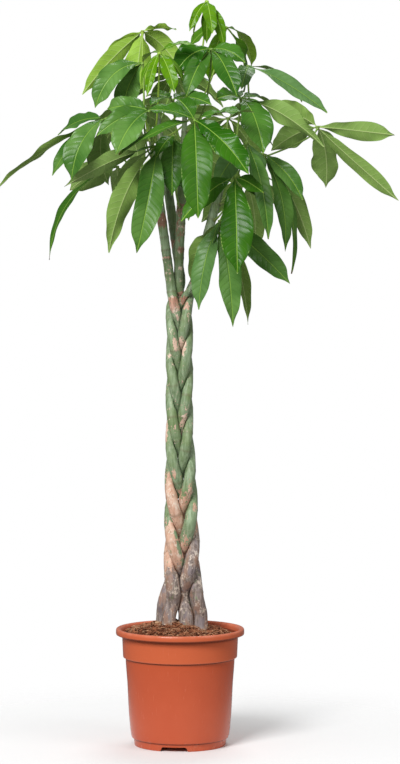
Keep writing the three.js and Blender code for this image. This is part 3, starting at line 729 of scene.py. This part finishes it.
# ---------------------------------------------------------------- leaves
# Palmate leaves, each a long round stalk with a swollen foot, a small hub and four to seven thin
# leathery leaflets, folded along a pale midrib and quilted between the side veins. Upper sides are
# glossy green, undersides matt grey-green, and young leaves yellow-green. Each grows from a stem.
WIDEST = 0.53  # where along it a leaflet is fullest
ROUNDNESS = 1.1
CROWN_PLACE = 0.45  # where along it the curve's middle handle stands
BLADE_FOLD = 0.22
BLADE_THICKNESS = 0.7
BLADE_ROWS = 34
BLADE_COLUMNS = (-1, -0.9, -0.74, -0.55, -0.35, -0.17, -0.06, 0, 0.06, 0.17, 0.35, 0.55, 0.74, 0.9, 1)
WAVE_HEIGHT = 0.045
TURN_SHARE = 0.4  # a leaflet's turn about its midrib is over by here
HUB_WIDTH = 2.6  # least widths of a blade, at the hub and at the tip
TIP_WIDTH = 0.9
MIDRIB_WIDTH = 0.9
MIDRIB_HEIGHT = 0.75  # below the blade; above it the midrib lies in a groove
GROOVE_DEPTH = 0.25
STALK_POINTS = 24
STALK_RADIUS = 1.75
STALK_SIDES = 9
STALK_KNEE = 1.5
FOOT_RADIUS = 3.6
FOOT_SHARE = 0.13
FOOT_CLEAR = 1.05  # how far off the bark the stalk's curve starts
FOOT_BACK = 0.84  # and how far its foot then reaches back
LEAST_LEAN = -0.3  # of a stalk where it leaves its stem, in radians
MOST_LEAN = 0.35
LOW_HANDLE = 0.35  # the curve's handles, as shares of its length
HIGH_HANDLE = 0.15
HUB_SIDES = 10
HUB_HEIGHTS = (-2.6, -1.2, 0.4, 1.5, 2.2)
HUB_RADII = (3.0, 3.9, 3.9, 2.6, 0.7)
VEIN_SPACING = 0.0122
YOUNG_AGE = 0.1  # a leaf under this age counts as young

# name, stem, height of the foot, hub, way the upper side looks, age from 0 (young) to 1 (old), and
# the leaflets: tip from the hub, width, rise, turn and, where it sways sideways, sway
LEAVES = [
    ("leaf_top_young", 0, 1160, (50, 0, 1391), (0, -0.5, 0.87), 0.05, [
        (-32, -22, -57, 17, 0.12, -30), (-25, 22, -72, 13, 0.1, 40), (0, 14, -77, 20, 0.1, 0),
        (10, -36, -62, 26, 0.12, 0), (32, -10, -89, 20, 0.16, 30)]),
    ("leaf_top_back", 0, 1140, (86, 60, 1347), (0.2, -0.3, 0.93), 0.2, [
        (34, 45, -120, 40, 0.12, 20), (-31, 15, -99, 34, 0.12, -40), (-66, 20, -34, 34, 0.16, -30),
        (50, 110, -70, 36, 0.14, 0)]),
    ("leaf_top_dark", 3, 1150, (58, -40, 1300), (0, -0.45, 0.89), 0.6, [
        (-66, -24, -46, 48, 0.18, -30), (-46, -50, -90, 38, 0.12, -20), (47, -70, -91, 40, 0.12, 15),
        (62, -30, -26, 36, 0.14, 20), (20, 62, -40, 34, 0.14, 0)]),
    ("leaf_centre_young", 4, 1122, (-37, -92, 1290), (0, -0.35, 0.93), 0.0, [
        (-34, 10, -62, 14, 0.12, 0), (-22, -34, -81, 17, 0.12, -20), (28, -30, -74, 26, 0.12, 20),
        (46, 18, -61, 15, 0.12, 30), (-32, 50, -16, 16, 0.14, 0), (70, 6, 14, 20, 0.14, 0)]),
    ("leaf_upper_left", 4, 1127, (-71, 70, 1339), (0, 0.75, 0.66), 0.12, [
        (-114, 20, -117, 35, 0.08, 10), (-14, -10, -118, 50, 0.1, 0), (67, 30, -62, 44, 0.16, 0),
        (64, -28, 2, 26, 0.12, 30), (-84, 90, -80, 36, 0.12, 0)]),
    ("leaf_left_glossy", 4, 1102, (-69, -60, 1273), (-0.3, -0.45, 0.84), 0.7, [
        (-86, -30, -84, 44, 0.2, -35), (-78, 34, -40, 30, 0.14, -20), (-34, 20, -90, 44, 0.1, -60)]),
    ("leaf_far_left", 4, 1045, (-136, -60, 1172), (-0.25, -0.35, 0.9), 0.8, [
        (-202, 20, -128, 32, 0.05, 40), (-92, 66, -29, 36, 0.1, -20), (-99, 6, -105, 34, 0.1, -20),
        (-62, -40, -116, 50, 0.16, -25), (4, 44, -122, 46, 0.1, 75)]),
    ("leaf_left_hidden", 0, 1030, (-118, 40, 1085), (-0.3, -0.1, 0.95), 0.6, [
        (-129, 24, -175, 26, 0.16, -30), (-90, 30, -44, 52, 0.08, 85), (14, 96, -84, 38, 0.12, 30)]),
    ("leaf_centre_high", 3, 1120, (-13, -64, 1206), (-0.1, -0.3, 0.95), 0.65, [
        (-40, -72, -14, 28, 0.1, 0), (72, -60, -12, 34, 0.1, 20), (-50, 52, 8, 30, 0.1, 0),
        (44, 50, 6, 30, 0.1, 0)]),
    ("leaf_front_main", 3, 1090, (27, -150, 1166), (0, -0.62, 0.78), 0.5, [
        (7, -62, -178, 60, 0.1, 0), (98, -60, -99, 52, 0.1, 10), (109, 4, 14, 36, 0.08, -26),
        (-86, -6, 18, 44, 0.1, 10), (-136, -24, -63, 34, 0.08, 20), (-30, 52, 40, 36, 0.08, 0)]),
    ("leaf_centre_dark", 3, 1010, (-12, -62, 1140), (0, -0.5, 0.86), 0.55, [
        (-2, -34, -110, 42, 0.1, 0), (-30, -50, -40, 28, 0.1, 0), (24, -10, -104, 38, 0.1, 30)]),
    ("leaf_front_left", 4, 1092, (-56, -124, 1184), (-0.2, -0.5, 0.84), 0.7, [
        (-58, -66, -82, 50, 0.12, -20), (-94, -20, -46, 36, 0.1, -40), (-76, 30, 4, 38, 0.1, -40)]),
    ("leaf_lower_left", 4, 1020, (-41, -84, 1122), (-0.2, -0.6, 0.7), 0.6, [
        (-89, -10, -197, 44, 0.12, 120), (-37, -46, -197, 52, 0.08, -30, -0.05),
        (-172, 24, -76, 36, 0.05, 90), (-80, 52, -92, 38, 0.1, 60)]),
    ("leaf_right_grey", 2, 985, (123, -70, 1127), (0.2, -0.5, 0.84), 1.0, [
        (39, -46, -177, 34, 0.1, 0), (20, 20, -80, 36, 0.1, 30), (-58, -20, -82, 40, 0.1, -30)]),
    ("leaf_right_dark", 2, 1060, (113, -40, 1210), (0.15, -0.4, 0.9), 0.65, [
        (40, -66, -103, 58, 0.14, 10), (151, -60, -91, 40, 0.08, -80), (-46, -52, -4, 36, 0.1, -20),
        (-24, 60, 8, 32, 0.1, 0), (60, 100, -20, 36, 0.12, 0)]),
    ("leaf_far_right", 2, 1080, (257, 30, 1159), (-0.1, 0.5, 0.86), 0.5, [
        (146, 10, -15, 37, 0.01, -45), (155, 40, -137, 32, -0.01, -30), (18, 44, -113, 54, 0.08, -20, 0.07),
        (-86, -30, 38, 42, 0.08, 35), (-86, 36, -44, 44, 0.08, 35)]),
    ("leaf_upper_right", 2, 1090, (128, 56, 1274), (0.2, -0.2, 0.96), 0.95, [
        (148, -10, -88, 38, 0.05, 38), (-14, -62, -46, 34, 0.14, 0), (104, 96, -64, 38, 0.12, 0)]),
    ("leaf_right_low", 2, 1015, (152, -20, 1108), (0.3, -0.2, 0.93), 0.8, [
        (75, -30, -86, 34, 0.09, 50), (93, 50, -176, 40, 0.06, -75), (43, -20, -181, 36, 0.1, 30),
        (56, 16, -223, 28, 0.12, 12), (70, 120, -90, 38, 0.12, 0)]),
    ("leaf_front_right", 2, 950, (101, -110, 1064), (0, -0.6, 0.8), 0.35, [
        (4, -62, -176, 58, 0.08, 0), (-98, -28, -81, 46, 0.1, -10), (52, -50, -30, 26, 0.06, 40),
        (62, 30, -46, 36, 0.1, 30)]),
    # painted light: this leaf's age is set near 1 so that the pale tone of old leaves lifts its blades,
    # which hang in shade
    ("leaf_lowest", 1, 873, (74, -44, 984), (0, -0.1, 0.99), 0.94, [
        (-50, 46, -121, 42, 0.08, 30), (-39, -30, -164, 44, 0.08, -10), (24, -26, -196, 42, 0.05, 10),
        (53, 44, -194, 34, 0.06, -20), (130, -20, -117, 46, 0.03, 55), (-14, -26, -42, 14, 0.06, 0)]),
    ("leaf_back_high", 0, 1170, (-14, 160, 1262), (0, 0.5, 0.87), 0.6, (6, 135, 42, 0.6)),
    ("leaf_back_right", 2, 1110, (92, 180, 1180), (0.3, 0.6, 0.74), 0.7, (6, 140, 44, 0.5)),
    ("leaf_back_left", 0, 1130, (-95, 150, 1195), (-0.35, 0.55, 0.76), 0.8, (6, 140, 44, 0.5)),
    ("leaf_back_middle", 0, 1080, (15, 200, 1120), (0, 0.8, 0.6), 0.55, (5, 145, 46, 0.3)),
    ("leaf_back_low", 2, 1010, (125, 120, 1058), (0.35, 0.65, 0.67), 0.7, (5, 135, 42, 0.5)),
]


def fan(face, count, length, width, droop):
    """Leaflets evenly round a hub, square to the leaf's face and drooping."""
    face = Vector(face).normalized()
    level = Vector((0, 0, 1)).cross(face).normalized()
    uphill = face.cross(level)
    leaflets = []
    for i in range(count):
        bearing = math.radians(-90 + 360 / (count + 1) * (i - (count - 1) / 2))
        size = 1 - 0.1 * abs(i - (count - 1) / 2)
        tip = level * math.cos(bearing) + uphill * math.sin(bearing) - face * droop
        tip = tip.normalized() * length * size
        leaflets.append((tip.x, tip.y, tip.z, width * size, 0.13, 0))
    return leaflets


def blade_outline(s):
    """Outline of a leaflet: narrow at the hub, fullest past its middle, with a drawn-out drip tip."""
    if s <= 0 or s >= 1:
        return 0
    s = s ** 1.1
    body = (s / WIDEST) ** ROUNDNESS * ((1 - s) / (1 - WIDEST)) ** (ROUNDNESS * (1 / WIDEST - 1))
    return body ** 0.8 * (1 - 0.45 * smooth(s, 0.84, 0.96)) * smooth(s, 0.0, 0.2) ** 0.6


class LeafMesh:
    """Points and faces of one leaf. Each face has its material, and each point its place on the blade
    (across, along and half the width) and its look: age, dryness and a chance value."""

    def __init__(self):
        self.verts, self.faces, self.kinds, self.vein, self.look = [], [], [], [], []

    def add_point(self, point, vein, look):
        self.verts.append(point)
        self.vein.extend(v * MM for v in vein)
        self.look.extend(look)

    def add_blade(self, hub, face, leaflet, seed, age, maker):
        dx, dy, dz, width, rise, turn = leaflet[:6]
        sway = leaflet[6] if len(leaflet) > 6 else 0
        reach = Vector((dx, dy, dz))
        length = reach.length
        chord = reach.normalized()
        up = (face - chord * face.dot(chord)).normalized()
        crown = hub + reach * CROWN_PLACE + up * (2 * rise * length) + chord.cross(up) * (2 * sway * length)
        tip = hub + reach
        shifts = maker.uniform(0, 6.3), maker.uniform(0, 6.3)
        pace = maker.uniform(10, 17)
        frill = maker.uniform(0.03, 0.1) * width
        bulges = maker.uniform(0.03, 0.12), maker.uniform(0.03, 0.12)
        dryness = 0.8 * maker.random() ** 3
        chance = maker.random()
        tilt = maker.uniform(-0.02, 0.02)
        sheets = {}
        for sheet in (1, -1):
            for row in range(BLADE_ROWS + 1):
                s = row / BLADE_ROWS
                t = 1 - s
                point = hub * t * t + crown * (2 * s * t) + tip * s * s
                tangent = ((crown - hub) * t + (tip - crown) * s).normalized()
                plain = (up - tangent * up.dot(tangent)).normalized()
                roll = math.radians(turn * min(1, s / TURN_SHARE))
                normal = Matrix.Rotation(roll, 3, tangent) @ plain
                sideways = tangent.cross(normal)
                half = max(lerp(HUB_WIDTH, TIP_WIDTH, s), width * blade_outline(s)) / 2
                for column, x in enumerate(BLADE_COLUMNS):
                    edge = abs(x)
                    if sheet == -1 and (edge == 1 or row in (0, BLADE_ROWS)):
                        sheets[sheet, row, column] = sheets[1, row, column]
                        continue
                    shift = shifts[x >= 0]
                    ripple = math.sin(pace * s + shift) + 0.35 * math.sin(2.3 * pace * s + 2 * shift)
                    wave = edge * math.sin(9 * s + 2.4 * seed + 1.5 * x) * width * WAVE_HEIGHT
                    wave += edge ** 2.5 * ripple * frill * min(1, 4 * s, 5 * t)
                    bulge = 1 + bulges[x > 0] * math.sin(0.7 * pace * s + 2 * shift)
                    fold = half * BLADE_FOLD * (math.sqrt(x * x + 0.006) - 0.08)
                    thick = BLADE_THICKNESS * (1 - 0.85 * edge ** 4) / 2
                    midrib = math.exp(-(x * half / MIDRIB_WIDTH) ** 2)
                    thick += MIDRIB_HEIGHT * t ** 0.7 * midrib if sheet == -1 else -GROOVE_DEPTH * midrib
                    place = point + sideways * (x * half * bulge + tilt * half * math.sin(7 * s))
                    place += normal * (fold + wave + sheet * thick)
                    brown = dryness * (smooth(s, 0.93, 1.0) + 0.5 * edge ** 8 * smooth(s, 0.5, 0.9))
                    sheets[sheet, row, column] = len(self.verts)
                    self.add_point(place, (x * half, s * length, half), (age, brown, chance))
        quad = (0, 0), (0, 1), (1, 1), (1, 0)
        for sheet in (1, -1):
            for row in range(BLADE_ROWS):
                for column in range(len(BLADE_COLUMNS) - 1):
                    corners = [sheets[sheet, row + i, column + j] for i, j in quad[::sheet]]
                    self.faces.append(corners)
                    self.kinds.append(0 if sheet == 1 else 1)

    def add_tube(self, points, radii, sides, age):
        base = len(self.verts)
        count = len(points)
        for i, (point, radius) in enumerate(zip(points, radii)):
            tangent = (points[min(i + 1, count - 1)] - points[max(i - 1, 0)]).normalized()
            side = tangent.cross(Vector((0.31, 0.2, 0.93))).normalized()
            across = tangent.cross(side)
            foot_mark = 1 - smooth(i / (count - 1), 0.02, 0.14)
            for x, y in circle(radius, sides):
                self.add_point(point + side * x + across * y, (0, 0, 0), (age, foot_mark, 0))
        self.faces.extend(tube_faces(base, count, sides))
        self.faces.append(tuple(base + k for k in reversed(range(sides))))
        self.faces.append(tuple(base + (count - 1) * sides + k for k in range(sides)))
        self.kinds.extend([2] * ((count - 1) * sides + 2))


def stalk_curve(stem, height, hub, face):
    """The stalk's curve from its stem to the hub: cubic, level at the stem and rising to the hub."""
    centre = stem_axis(stem, height)
    way = hub - centre
    lean = min(MOST_LEAN, max(LEAST_LEAN, math.atan2(way.z, math.hypot(way.x, way.y))))
    outward = Vector((way.x, way.y, 0)).normalized()
    start = outward * math.cos(lean) + Vector((0, 0, math.sin(lean)))
    clear = stem_radius(stem, height) + FOOT_CLEAR + FOOT_RADIUS * abs(math.sin(lean))
    foot = centre + outward * clear
    length = (hub - foot).length
    handles = foot, foot + start * length * LOW_HANDLE, hub - face * length * HIGH_HANDLE, hub
    points = [foot - start * FOOT_BACK]
    for i in range(STALK_POINTS + 1):
        s = i / STALK_POINTS
        t = 1 - s
        weights = t ** 3, 3 * s * t * t, 3 * s * s * t, s ** 3
        points.append(sum((h * w for h, w in zip(handles, weights)), Vector()))
    return points


nearest, farthest = (Vector(corner) / MM for corner in cad_box)  # no blade's wave goes past these
leaf_pieces = []
for number, (name, stem, foot, hub, face, age, leaflets) in enumerate(LEAVES):
    maker = random.Random(100 + number)
    hub = Vector(hub)
    unit = Vector(face).normalized()
    if isinstance(leaflets[0], int):
        leaflets = fan(face, *leaflets)
    leaf = LeafMesh()
    for seed, leaflet in enumerate(leaflets):
        own_age = min(1, max(0, age + maker.uniform(-0.12, 0.12)))
        leaf.add_blade(hub, unit, leaflet, seed, own_age, maker)
    curve = stalk_curve(stem, foot, hub, unit)
    radii = []
    for i in range(len(curve)):
        s = i / (len(curve) - 1)
        swelling = (FOOT_RADIUS - STALK_RADIUS) * max(0, 1 - s / FOOT_SHARE) ** 1.3
        radii.append(STALK_RADIUS + swelling + STALK_KNEE * smooth(s, 0.9, 0.985))
    leaf.add_tube(curve, radii, STALK_SIDES, age)
    leaf.add_tube([hub + unit * height for height in HUB_HEIGHTS], HUB_RADII, HUB_SIDES, age)
    verts = []
    for vert in leaf.verts:
        verts.append([min(high, max(low, v)) for low, v, high in zip(nearest, vert, farthest)])
    piece = mesh_piece(name + "_blades", verts, leaf.faces)
    mesh = piece.data
    mesh.polygons.foreach_set("material_index", leaf.kinds)
    mesh.attributes.new("vein", "FLOAT_VECTOR", "POINT").data.foreach_set("vector", leaf.vein)
    mesh.attributes.new("look", "FLOAT_VECTOR", "POINT").data.foreach_set("vector", leaf.look)
    mesh.set_sharp_from_angle(angle=math.radians(70))
    leaf_pieces.append(piece)


def carried_parts(place, name):
    """The three numbers that the mesh carries under this name."""
    return place.node("Attribute", {"attribute_name": name}, {}, out="Vector").parts()


def leaf_fields(place):
    """What both sides of a blade share: age, chance, mottle, dry brown edges, veins and quilting."""
    across, run, half = carried_parts(place, "vein")
    age, dry, chance = carried_parts(place, "look")
    wander = (place.grain(55, 2) - 0.5) * 0.004
    out = abs(across)
    share = out / (half + 0.0004)
    climb = run - out * 0.3 - out * share * 0.5 + wander + across.maths("SIGN", across) * VEIN_SPACING * 0.24
    phase = climb / VEIN_SPACING
    wave = abs((phase - phase.maths("FLOOR", phase)) - 0.5) * 2  # 1 on a side vein, 0 between two
    side_vein = wave.above(0.86, 0.97) * share.above(0.98, 0.6)
    midrib = out.above(0.0011, 0.0005)
    quilt = (1 - wave ** 3) * share.above(0.02, 0.16) * share.above(1.0, 0.8)
    mottle = place.grain(45, 3, 0.6)
    brown = (dry + (mottle - 0.5) * 0.4).above(0.35, 0.6)
    return age, chance, mottle, brown, place.grain(850, 2, 0.6), side_vein, midrib, quilt


upper_finish, shader, place = finish_of("leaf_upper_side", specular_ior_level=0.15)
age, chance, mottle, brown, mesh_veins, side_vein, midrib, quilt = leaf_fields(place)
broad = place.grain(14, 2)
old = broad.above(0.35, 0.65).tint(rgb(60, 104, 40), rgb(102, 144, 70))
fresh = broad.above(0.35, 0.65).tint(rgb(30, 82, 4), rgb(54, 108, 16))
young = mottle.tint(rgb(66, 120, 2), rgb(106, 152, 10))
tone = age.above(0.08, 0.36).tint(young, fresh)
tone = age.above(0.45, 0.78).tint(tone, old)
tone = age.above(0.88, 1.0).tint(tone, mottle.tint(rgb(76, 120, 62), rgb(116, 152, 96)))
tone = (chance * 0.5).tint(tone, mottle.tint(rgb(36, 84, 14), rgb(96, 142, 50)))
# painted shade: the blade is darker where the quilting relief is low, along the side veins, by the midrib
# and at the margin
tone = ((1 - quilt) * 0.2).tint(tone, rgb(34, 78, 14))
tone = (side_vein * 0.2).tint(tone, rgb(118, 158, 62))
tone = (midrib * (0.85 - age * 0.35)).tint(tone, rgb(146, 186, 74))
tone = brown.tint(tone, rgb(104, 78, 38))
relief = quilt * 0.8 + mesh_veins * 0.06 - midrib * 0.6
gloss = 0.16 + mottle * 0.12 + side_vein * 0.06 + chance * 0.12
wire(shader, relief, depth=0.001, strength=0.5, base_color=tone, roughness=gloss)

under_finish, shader, place = finish_of("leaf_under_side", specular_ior_level=0.2)
age, chance, mottle, brown, mesh_veins, side_vein, midrib, quilt = leaf_fields(place)
old = mottle.tint(rgb(102, 140, 50), rgb(140, 172, 82))
young = mottle.tint(rgb(136, 180, 36), rgb(166, 206, 60))
tone = age.above(0.0, 0.45).tint(young, old)
tone = (chance * 0.4).tint(tone, rgb(140, 170, 106))
tone = (mesh_veins.above(0.45, 0.8) * 0.2).tint(tone, rgb(98, 130, 56))
tone = (side_vein * 0.3).tint(tone, rgb(172, 196, 126))
tone = (midrib * 0.75).tint(tone, rgb(190, 210, 138))
tone = brown.tint(tone, rgb(118, 92, 48))
relief = side_vein * 0.7 + midrib - quilt * 0.35 + mesh_veins * 0.1
wire(shader, relief, depth=0.0009, strength=0.5, base_color=tone, roughness=0.5 + mottle * 0.12)

stalk_finish, shader, place = finish_of("leaf_stalk", specular_ior_level=0.45)
age, foot_mark, _ = carried_parts(place, "look")
fleck = place.stretch(1, 1, 0.3).grain(260, 3)
tone = fleck.tint(rgb(106, 144, 54), rgb(146, 178, 84))
tone = age.above(0.5, 0.0).tint(tone, rgb(150, 184, 66))
tone = (foot_mark * 0.75).tint(tone, rgb(108, 104, 66))
wire(shader, fleck, depth=0.0004, strength=0.4, base_color=tone, roughness=0.4 + fleck * 0.15)
for piece, (name, *_, leaf_age, _) in zip(leaf_pieces, LEAVES):
    for material in (upper_finish, under_finish, stalk_finish):
        piece.data.materials.append(material)
    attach(piece, "root")
    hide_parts(name)
    "leaf_young" if leaf_age < YOUNG_AGE else "leaf_green"

# ---------------------------------------------------------------- floor, lights and camera
# A plain pale floor that fades out, a large soft light from the left front, weaker ones from the
# right and from above, and white all round, as in a studio.
FLOOR_RADIUS = 2.6
FLOOR_SIDES = 96
rim = [(x, y, 0) for x, y in circle(FLOOR_RADIUS, FLOOR_SIDES)]
floor = mesh_piece("floor", rim, [tuple(range(FLOOR_SIDES))], scale=1)
floor_finish, shader, place = finish_of("studio_floor", specular_ior_level=0.1)
x, y, _ = place.parts()
reach = (x * x + y * y) ** 0.5
pale = place.grain(3, 2).tint(rgb(243, 243, 243), rgb(247, 247, 247))
wire(shader, base_color=pale, roughness=0.9 + place.grain(5, 2) * 0.05, alpha=reach.above(0.8, 0.13))
floor.data.materials.append(floor_finish)
floor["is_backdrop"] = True

world = bpy.data.worlds.new("studio")
world.use_nodes = True
sky = world.node_tree
rays = sky.nodes.new("ShaderNodeLightPath").outputs
glow = 0.29 + Field(sky, rays["Is Camera Ray"]) * 0.71 - Field(sky, rays["Is Glossy Ray"]) * 0.12
sky.links.new(glow.socket, sky.nodes["Background"].inputs["Strength"])
sky.nodes["Background"].inputs["Color"].default_value = (1, 1, 1, 1)
bpy.context.scene.world = world


def soft_light(name, place, aim, size, power):
    light = bpy.data.lights.new(name, "AREA")
    light.energy = power
    light.size = size
    lamp = bpy.data.objects.new(name, light)
    lamp.location = place
    lamp.rotation_euler = (Vector(aim) - Vector(place)).to_track_quat("-Z", "Y").to_euler()
    bpy.context.collection.objects.link(lamp)


soft_light("key_light", (-1.7, -3.6, 3.3), (0, 0, 0.8), 1.8, 232)
soft_light("fill_light", (3.0, -2.2, 2.6), (0, 0, 1.1), 1.6, 27)
soft_light("top_light", (0.4, 1.6, 3.6), (0, 0, 1.0), 1.6, 36)

camera = bpy.data.cameras.new("camera")
camera.lens = 141.3
camera.sensor_width = 36
view = bpy.data.objects.new("camera", camera)
view.location = (0.03736, -5.6, 0.985)
view.rotation_euler = (math.radians(90 - 3.09), 0, 0)
bpy.context.collection.objects.link(view)
bpy.context.scene.camera = view
bpy.context.scene.view_settings.view_transform = "Standard"

boxes = {"cad": cad_box, "visual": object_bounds()}
{key: [[float(v) for v in corner] for corner in box] for key, box in boxes.items()}
